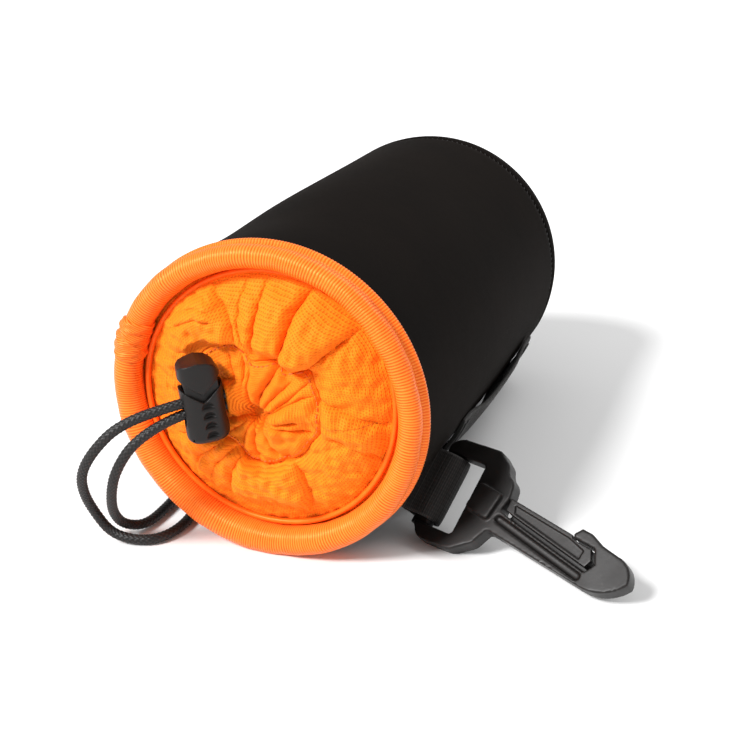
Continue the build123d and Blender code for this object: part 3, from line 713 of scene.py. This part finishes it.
def channel_radius(theta):
    """The outline above, smoothed, at any angle."""
    fine = np.arange(0, 360, 0.5)
    rough = np.interp(fine, CHANNEL[:, 0], CHANNEL[:, 1], period=360)
    reach = np.arange(-16, 17)
    weight = np.exp(-(reach / 7.0) ** 2)
    soft = sum(w * np.roll(rough, k) for k, w in zip(reach, weight)) / weight.sum()
    return np.interp(np.degrees(theta) % 360, fine, soft, period=360)


def fold_height(x, z, line, left, wide_left, right, wide_right):
    """Cloth standing up either side of a crease that it dips sharply into."""
    line = resample([(a, b, 0.0) for a, b in line], 1.2)[0][:, :2]
    total = len(line) - 1
    nearest = np.full(x.shape, 1e9)
    side, share = np.zeros(x.shape), np.zeros(x.shape)
    for k in range(total):
        (ax, az), (bx, bz) = line[k], line[k + 1]
        dx, dz = bx - ax, bz - az
        size = dx * dx + dz * dz
        u = np.clip(((x - ax) * dx + (z - az) * dz) / size, 0, 1)
        ox, oz = x - ax - u * dx, z - az - u * dz
        far = np.hypot(ox, oz)
        closer = far < nearest
        nearest = np.where(closer, far, nearest)
        side = np.where(closer, dx * oz - dz * ox, side)
        share = np.where(closer, (k + u) / total, share)
    fade = smoothstep(0.0, 0.14, share) * smoothstep(1.0, 0.72, share)
    wide = np.where(side > 0, wide_left, wide_right)
    tall = np.where(side > 0, left, right)
    u = nearest / wide
    return tall * (u * np.exp(1 - u) - 0.25 * np.exp(-u * 1.2)) * fade


STRAND_EXIT = (-3.88, -4.25, 4.6)   # midway between the strands where they leave the hem
STRAND_SLOPE = 0.7535               # how fast they come forward, per millimetre towards -x
COVER_ABOVE = 2.5                   # cloth in front of the strands' middle
COVER_HALF = 4.9                    # half the height of the cloth wrapped round both
BACK_FACE = 7.1                     # from the lock's centre to the cloth's limit behind it
CLOTH_FRONT = -3.3                  # the limit elsewhere behind the lock
SOFTENING = 0.6                     # how gently the cloth meets the limit


def strand_cover(x, z):
    """How far the cloth must stand out to wrap both strands on their way to the lock."""
    way = STRAND_EXIT[0] - x
    front = STRAND_EXIT[1] - STRAND_SLOPE * way - COVER_ABOVE
    wide = np.abs((z - STRAND_EXIT[2] + 0.15 * way) / COVER_HALF)
    across = np.clip(1 - wide ** 3.5, 0, 1) ** 0.5
    start = smoothstep(-3.5, 0.6, way) * smoothstep(8.6, 7.4, way)
    return front, across * start


def lock_limit(x, z):
    """The furthest forward the cloth may stand behind the cord lock."""
    from_x, from_z = x - LOCK_CENTRE[0], z - LOCK_CENTRE[2]
    plane = LOCK_CENTRE[1] + (BACK_FACE - 0.7927 * from_x - 0.1219 * from_z) / 0.5973
    near = np.minimum(plane, CLOTH_FRONT)
    a, b = (x + 15.5) / 12.5, (z - 4.5) / 17.0
    far = smoothstep(0.75, 1.25, np.sqrt(a * a + b * b))
    return near - 9.0 * far


def collar_depth(theta, r):
    """Depth of the gathered cloth, one surface across the channel."""
    x, z = r * np.cos(theta), r * np.sin(theta)
    ring = channel_radius(theta)
    out = np.clip((r - ring) / (SKIRT_RIM - ring), 0, 1)
    inside = np.clip(r / ring, 0, 1)
    base = np.where(r > ring, -2.6 + 6.6 * smoothstep(0.35, 0.95, out),
                    -2.6 + 1.5 * (1 - smoothstep(0.0, 0.75, inside)))
    gap = r - ring
    base = base - np.where(gap > 0, 2.3 * (gap / 2.6) * np.exp(1 - gap / 2.6),
                           1.2 * (-gap / 1.8) * np.exp(1 + gap / 1.8))
    lift = np.zeros_like(x)
    for line, left, wide_left, right, wide_right in CREASES:
        lift += fold_height(x, z, line, left, wide_left, right, wide_right)
    edge = 1 - 0.88 * smoothstep(0.62, 1.0, out)
    middle = 0.55 + 0.45 * smoothstep(0.0, 0.35, inside)
    rng = np.random.default_rng(21)
    ripple = np.zeros_like(x)
    for k in range(22):
        turn, pitch = rng.uniform(0, TAU), rng.uniform(2.2, 9.0)
        ripple += rng.uniform(0.015, 0.05) * pitch ** 0.6 * np.sin(
            TAU * (x * math.cos(turn) + z * math.sin(turn)) / pitch + rng.uniform(0, TAU))
    depth = base - lift * edge * middle + ripple * edge
    front, cover = strand_cover(x, z)
    depth = np.where(cover > 0, np.minimum(depth, depth + (front - depth) * cover), depth)
    limit = lock_limit(x, z)
    over = np.clip(limit + SOFTENING - depth, 0, None)
    return np.where(over > 0, limit + SOFTENING * np.exp(-over / SOFTENING), depth)


ANGLES = 660
theta = np.linspace(0, TAU, ANGLES, endpoint=False)[:, None]
ring = channel_radius(theta)
t = np.linspace(0, 1, 68)[None, :]
r = ring + (SKIRT_RIM - ring) * t
skirt_points = polar(r, collar_depth(theta + 0 * r, r), theta + 0 * r)
uv = np.stack(np.broadcast_arrays(theta * 40.0, t * 24.0), -1)
skirt = grid_object("collar_skirt_cloth", skirt_points, MESH, wrap=(True, False), uv=uv)

t = np.linspace(0, 1, 62)[None, :]
r = 0.15 + (ring - 0.15) * t ** 0.95
hem_points = polar(r, collar_depth(theta + 0 * r, r), theta + 0 * r)
hem_points[..., 0] += PUCKER[0] * (1 - t)
hem_points[..., 2] += PUCKER[1] * (1 - t)
uv = np.stack(np.broadcast_arrays(theta * 34.0, 60.0 + t * 22.0), -1)
hem = grid_object("collar_hem_cloth", hem_points, MESH, wrap=(True, False), uv=uv)

for piece, nodes in ((skirt, ["collar_skirt"]), (hem, ["collar_channel"])):
    thicken = piece.modifiers.new("thickness", "SOLIDIFY")
    thicken.thickness = 0.5 * MM
    thicken.offset = 0.0
    apply_modifiers(piece)
    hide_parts(*nodes)

# channel stitches: short threads that follow the gathered cloth, just inside the channel's edge
stitches = []
stitch_r = channel_radius(theta[:, 0]) - 1.1
stitch_line = polar(stitch_r, collar_depth(theta[:, 0], stitch_r), theta[:, 0])
STITCH, SKIP = 6, 3
for start in range(0, ANGLES - STITCH, STITCH + SKIP):
    a, b = stitch_line[start], stitch_line[start + STITCH]
    if np.linalg.norm(a - b) < 4.0:
        stitches.append((a + (0, -0.40, 0), b + (0, -0.40, 0)))
channel_stitches = rods("channel_stitches", stitches, 0.24, ORANGE_THREAD)

theta_line = np.linspace(0, TAU, 700, endpoint=False)
tucked = np.clip(1.25 * around_bump(theta_line, 62, 62), 0, 1)
piping_depth = 1.3 + 2.0 * tucked + 0.25 * np.sin(3 * theta_line)
piping_line = polar(39.5 + 1.9 * tucked, piping_depth, theta_line)
piping = round_tube(piping_line, 0.9, "inner_piping", PIPING, closed=True, columns=12)
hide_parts("collar_piping")


# ---- padded wall and base ----
WALL, THICK, WALL_START, SHOULDER, LENGTH = 49.2, 3.0, 4.3, 155.0, 175.0


def wall_dent(theta, depth):
    """Soft hollows and swells of the unfilled pouch."""
    def spot(angle, where, wide, long):
        turn = (np.mod(theta - math.radians(angle) + math.pi, TAU) - math.pi) / wide
        return np.exp(-turn ** 2 - ((depth - where) / long) ** 2)
    return (-1.5 * spot(112, 36, 0.45, 22) - 0.9 * spot(60, 110, 0.5, 34) + 0.6 * spot(20, 60, 0.5, 40)
            - 1.0 * spot(165, 90, 0.5, 45) + 0.35 * np.sin(3 * theta + depth * 0.03)
            - 0.7 * spot(-14, 120, 0.3, 30) - 2.0 * spot(55, 178, 1.0, 62))


def wall_surface(radius, depth, theta, share=1.0):
    return polar(radius + share * wall_dent(theta, depth), depth, theta)


wall_rows = np.concatenate([np.linspace(WALL_START, SHOULDER - 2.0, 74), [SHOULDER - 1.2, SHOULDER - 0.5, SHOULDER - 0.15]])
around = np.linspace(0, TAU, 240, endpoint=False)
seam_dip = 0.75 * np.exp(-((wall_rows - SHOULDER) / 1.2) ** 2)
outer = wall_surface((WALL - seam_dip)[:, None], wall_rows[:, None], around[None, :])
inner_rows = wall_rows[::-3]
inner = wall_surface(np.full((len(inner_rows), 1), WALL - THICK), inner_rows[:, None], around[None, :])
wall_grid = np.concatenate([outer, inner], 0)
uv = np.stack(np.broadcast_arrays((around * WALL)[None, :], np.arange(len(wall_grid))[:, None] * 2.0), -1)
wall = grid_object("padded_wall", wall_grid, JERSEY, wrap=(True, True), uv=uv)
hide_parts("body_wall")

ROUNDING = 19.0
corner = np.linspace(0, math.pi / 2, 22)
base_profile = [(WALL - 0.75, SHOULDER + 0.15), (WALL - 0.35, SHOULDER + 0.6)]
base_profile += [(WALL - ROUNDING + ROUNDING * math.cos(a), LENGTH - ROUNDING + ROUNDING * math.sin(a)) for a in corner[1:]]
for r in (26, 21, 16, 11, 6, 2.5):
    base_profile.append((r, LENGTH - 0.9 * (1 - (r / 30.3) ** 2)))
back = [(2.5, LENGTH - THICK - 0.9)] + [(r, LENGTH - THICK - 0.6) for r in (10, 20, 29)]
back += [(WALL - ROUNDING + (ROUNDING - THICK) * math.cos(a), LENGTH - ROUNDING + (ROUNDING - THICK) * math.sin(a))
         for a in corner[::-4][:-1]]
back.append((WALL - THICK, SHOULDER + 0.4))
base_outline = np.array(base_profile + back)
base_grid = wall_surface(base_outline[:, :1], base_outline[:, 1:], around[None, :])
fade = np.clip((base_outline[:, 0] - 8) / 30, 0, 1)[:, None, None]
plain = polar(base_outline[:, :1], base_outline[:, 1:], around[None, :] + 0 * base_outline[:, :1])
base_grid = plain + (base_grid - plain) * fade
base = grid_object("padded_base", base_grid, JERSEY, wrap=(True, True))
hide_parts("base_panel")

# the base seam's flat stitches
seam = []
for k in range(150):
    a = TAU * k / 150
    ends = []
    for da, dy in ((0.0, -0.8), (0.55, 0.8)):
        angle = a + da * TAU / 150
        depth = SHOULDER + dy
        radius = WALL - 0.75 * math.exp(-(dy / 1.2) ** 2) - 0.06
        ends.append(wall_surface(np.array([radius]), np.array([depth]), np.array([angle]))[0])
    seam.append(ends)
rods("base_seam_stitches", seam, 0.14, BLACK_THREAD)

# ---- webbing ----
def webbing(name, line, across, normal, width, thickness, rib_pitch, material=WEBBING, columns=27,
            crown=None, body="pouch"):
    """A ribbed flat band along a line; across and normal are arrays, one per point."""
    line = np.asarray(line, float)
    far = np.concatenate([[0.0], np.cumsum(np.linalg.norm(np.diff(line, axis=0), axis=1))])
    want = np.arange(0, far[-1], rib_pitch / 5)
    pick = lambda table: np.stack([np.interp(want, far, np.asarray(table)[:, k]) for k in range(3)], 1)
    line, across, normal = pick(line), pick(across), pick(normal)
    across /= np.linalg.norm(across, axis=1)[:, None]
    normal /= np.linalg.norm(normal, axis=1)[:, None]
    w = np.linspace(-1, 1, columns)
    edge_thin = 1 - 0.35 * np.abs(w) ** 10
    rib = 0.11 * np.abs(np.sin(np.pi * want / rib_pitch))[:, None] * (1 - 0.5 * np.abs(w) ** 8)[None, :]
    half = thickness / 2 * edge_thin[None, :] - 0.11 + rib
    bow = np.zeros_like(half) if crown is None else -np.interp(want, far, crown)[:, None] * (w ** 2)[None, :]
    top = line[:, None] + across[:, None] * (w * width / 2)[None, :, None] + normal[:, None] * (bow + half)[..., None]
    low = line[:, None] + across[:, None] * (w * width / 2)[None, :, None] + normal[:, None] * (bow - half)[..., None]
    points = np.concatenate([top, low[:, ::-1]], 1)
    lengthwise = np.concatenate([w, w[::-1] + 3]) * width / 2
    uv = np.stack(np.broadcast_arrays(want[:, None], lengthwise[None, :]), -1)
    return grid_object(name, points, material, body, uv=uv, caps=True), want


def smooth_path(points, count=160):
    """A soft line through a few points."""
    points = np.asarray(points, float)
    t = np.arange(len(points))
    fine = np.linspace(0, len(points) - 1, count)
    line = np.stack([np.interp(fine, t, points[:, k]) for k in range(points.shape[1])], 1)
    for _ in range(int(count / len(points)) * 2):
        line[1:-1] = (line[:-2] + 2 * line[1:-1] + line[2:]) / 4
    return line


STRAP_ANGLE = math.radians(-34.0)
STRAP_WIDTH, WEB = 22.0, 1.5
radial = np.array([math.cos(STRAP_ANGLE), 0.0, math.sin(STRAP_ANGLE)])
tangent = np.array([-math.sin(STRAP_ANGLE), 0.0, math.cos(STRAP_ANGLE)])
strap_side = smooth_path([(49.0, 50.15), (56.5, 50.15), (61.0, 50.7), (67.5, 51.7), (78.0, 51.95),
                          (92.0, 51.95), (106.0, 51.6), (116.0, 50.8), (123.0, 50.15), (130.0, 50.15)], 220)
strap_line = np.stack([radial * r for _, r in strap_side]) + np.array([0, 1.0, 0]) * strap_side[:, :1]
slope = np.gradient(strap_side, axis=0)
strap_normal = radial[None, :] * slope[:, :1] - np.array([[0, 1.0, 0]]) * slope[:, 1:]
strap_crown = 1.25 - 0.7 * np.clip((strap_side[:, 1] - 50.15) / 1.8, 0, 1)
strap, _ = webbing("belt_strap_webbing", strap_line, np.repeat(tangent[None, :], len(strap_line), 0),
                   strap_normal, STRAP_WIDTH, WEB, 1.05, crown=strap_crown)
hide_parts("belt_strap")

tack = []
for depth in (51.5, 54.0, 125.0, 127.5):
    for k in range(26):
        w = (k / 25 - 0.5) * (STRAP_WIDTH - 4.5)
        lift = 50.15 + WEB / 2 + 0.16 - 1.25 * (w / 11) ** 2
        a = radial * lift + tangent * w + np.array([0, depth - 0.6, 0])
        b = radial * lift + tangent * (w + 0.35) + np.array([0, depth + 0.6, 0])
        tack.append((a, b))
tacks = rods("strap_bar_tack_threads", tack, 0.27, BLACK_THREAD)
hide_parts("strap_bar_tacks")

# the tab: one webbing looped round the hook's bar, its plies side by side to the wall
HOOK_LONG = unit(0.949, -0.3133, -0.0346)
BAR_WAY = unit(0.2452, 0.6647, 0.7058)
HOOK_NORMAL = HOOK_LONG.cross(BAR_WAY)
HOOK = axes(HOOK_LONG, HOOK_NORMAL, (42.06, 30.86, -33.0))
BAR_CENTRE = HOOK @ Vector((2.1, 0.0, -3.0))
PLY_ANGLE = math.radians(141.5)
ply_way = HOOK_LONG * math.cos(PLY_ANGLE) + HOOK_NORMAL * math.sin(PLY_ANGLE)
ply_side = BAR_WAY.cross(ply_way)
loop_radius = 4.7
bend = np.radians(np.linspace(50, 310, 70))
flat_line = [(13.5, 1.05), (10.5, 1.05), (7.3, 1.35), (5.1, 2.2)]
flat_line += [(loop_radius * math.cos(a), loop_radius * math.sin(a)) for a in bend]
flat_line += [(5.1, -2.2), (7.3, -1.35), (10.5, -1.05), (13.5, -1.05)]
flat_line = np.array(flat_line)
way, side = np.array(ply_way), np.array(ply_side)
tab_line = np.array(BAR_CENTRE)[None] + flat_line[:, :1] * way + flat_line[:, 1:] * side
along_tab = np.gradient(flat_line, axis=0)
tab_normal = along_tab[:, 1:] * way - along_tab[:, :1] * side
tab, _ = webbing("hook_tab_webbing", tab_line, np.repeat(np.array(BAR_WAY)[None], len(tab_line), 0),
                 tab_normal, 22.0, WEB, 1.0)
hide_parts("hook_tab")


# ---- moulded plastic: the CAD shapes with softened mould edges ----
def moulded(name, node, plane, voxel, rounds, body):
    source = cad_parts[node]
    mesh = source.data.copy()
    into = (Matrix.Translation(at(0, 0, 0)) @ Matrix.Scale(MM, 4) @ plane)
    mesh.transform(into.inverted())
    holder = bpy.data.objects.new(name, mesh)
    bpy.context.scene.collection.objects.link(holder)
    remesh = holder.modifiers.new("cast", "REMESH")
    remesh.mode = "VOXEL"
    remesh.voxel_size = voxel
    remesh.use_smooth_shade = True
    soften = holder.modifiers.new("edges", "SMOOTH")
    soften.factor = 0.5
    soften.iterations = rounds
    apply_modifiers(holder)
    holder.data.transform(into)
    holder.data.materials.clear()
    holder.data.materials.append(PLASTIC)
    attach(holder, body)
    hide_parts(node)


moulded("snap_hook_moulding", "hook_body", HOOK, 0.33, 7, "snap_hook")
moulded("spring_gate_tongue", "hook_gate", HOOK, 0.22, 4, "spring_gate")
moulded("cord_lock_shell", "cord_lock_barrel", LOCK, 0.2, 5, "cord_lock")
moulded("cord_lock_button", "cord_lock_plunger", LOCK, 0.2, 4, "lock_plunger")

# ---- finishes on the pieces kept from the CAD model ----
KEPT = {"side_seam_tape": TAPE, "base_seam_tape": TAPE, "lining_tube": LINING, "lining_base": LINING,
        "channel_cord": CORD, "cord_lock_spring": STEEL}
for node, material in KEPT.items():
    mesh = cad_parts[node].data
    if len(mesh.materials) == 0:
        mesh.materials.append(material)
    for slot_number in range(len(mesh.materials)):
        mesh.materials[slot_number] = material

# ---- floor and light ----
bpy.ops.mesh.primitive_plane_add(size=40.0, location=(0, 0, -0.0002))
floor = bpy.context.object
floor.name = "floor"
floor.data.materials.append(ground())

SKY, SUN, SUN_SPREAD, SUN_WAY = 0.52, 4.3, 16, (0.45, 0.66, -0.70)
world = bpy.data.worlds.new("studio")
bpy.context.scene.world = world
world.use_nodes = True
world.node_tree.nodes["Background"].inputs[0].default_value = (1.0, 1.0, 1.0, 1.0)
world.node_tree.nodes["Background"].inputs[1].default_value = SKY


def softbox(name, place, target, size, power):
    lamp = bpy.data.lights.new(name, "AREA")
    lamp.size = size
    lamp.energy = power
    holder = bpy.data.objects.new(name, lamp)
    bpy.context.scene.collection.objects.link(holder)
    holder.location = place
    holder.rotation_euler = (Vector(target) - Vector(place)).to_track_quat("-Z", "Y").to_euler()


sun_light = bpy.data.lights.new("key", "SUN")
sun_light.energy = SUN
sun_light.angle = math.radians(SUN_SPREAD)
sun = bpy.data.objects.new("key", sun_light)
bpy.context.scene.collection.objects.link(sun)
sun.rotation_euler = Vector(SUN_WAY).to_track_quat("-Z", "Y").to_euler()
softbox("rim", (0.35, 0.45, 0.75), (0, 0, 0.05), 0.45, 3.0)

bpy.context.scene.view_settings.view_transform = "Standard"
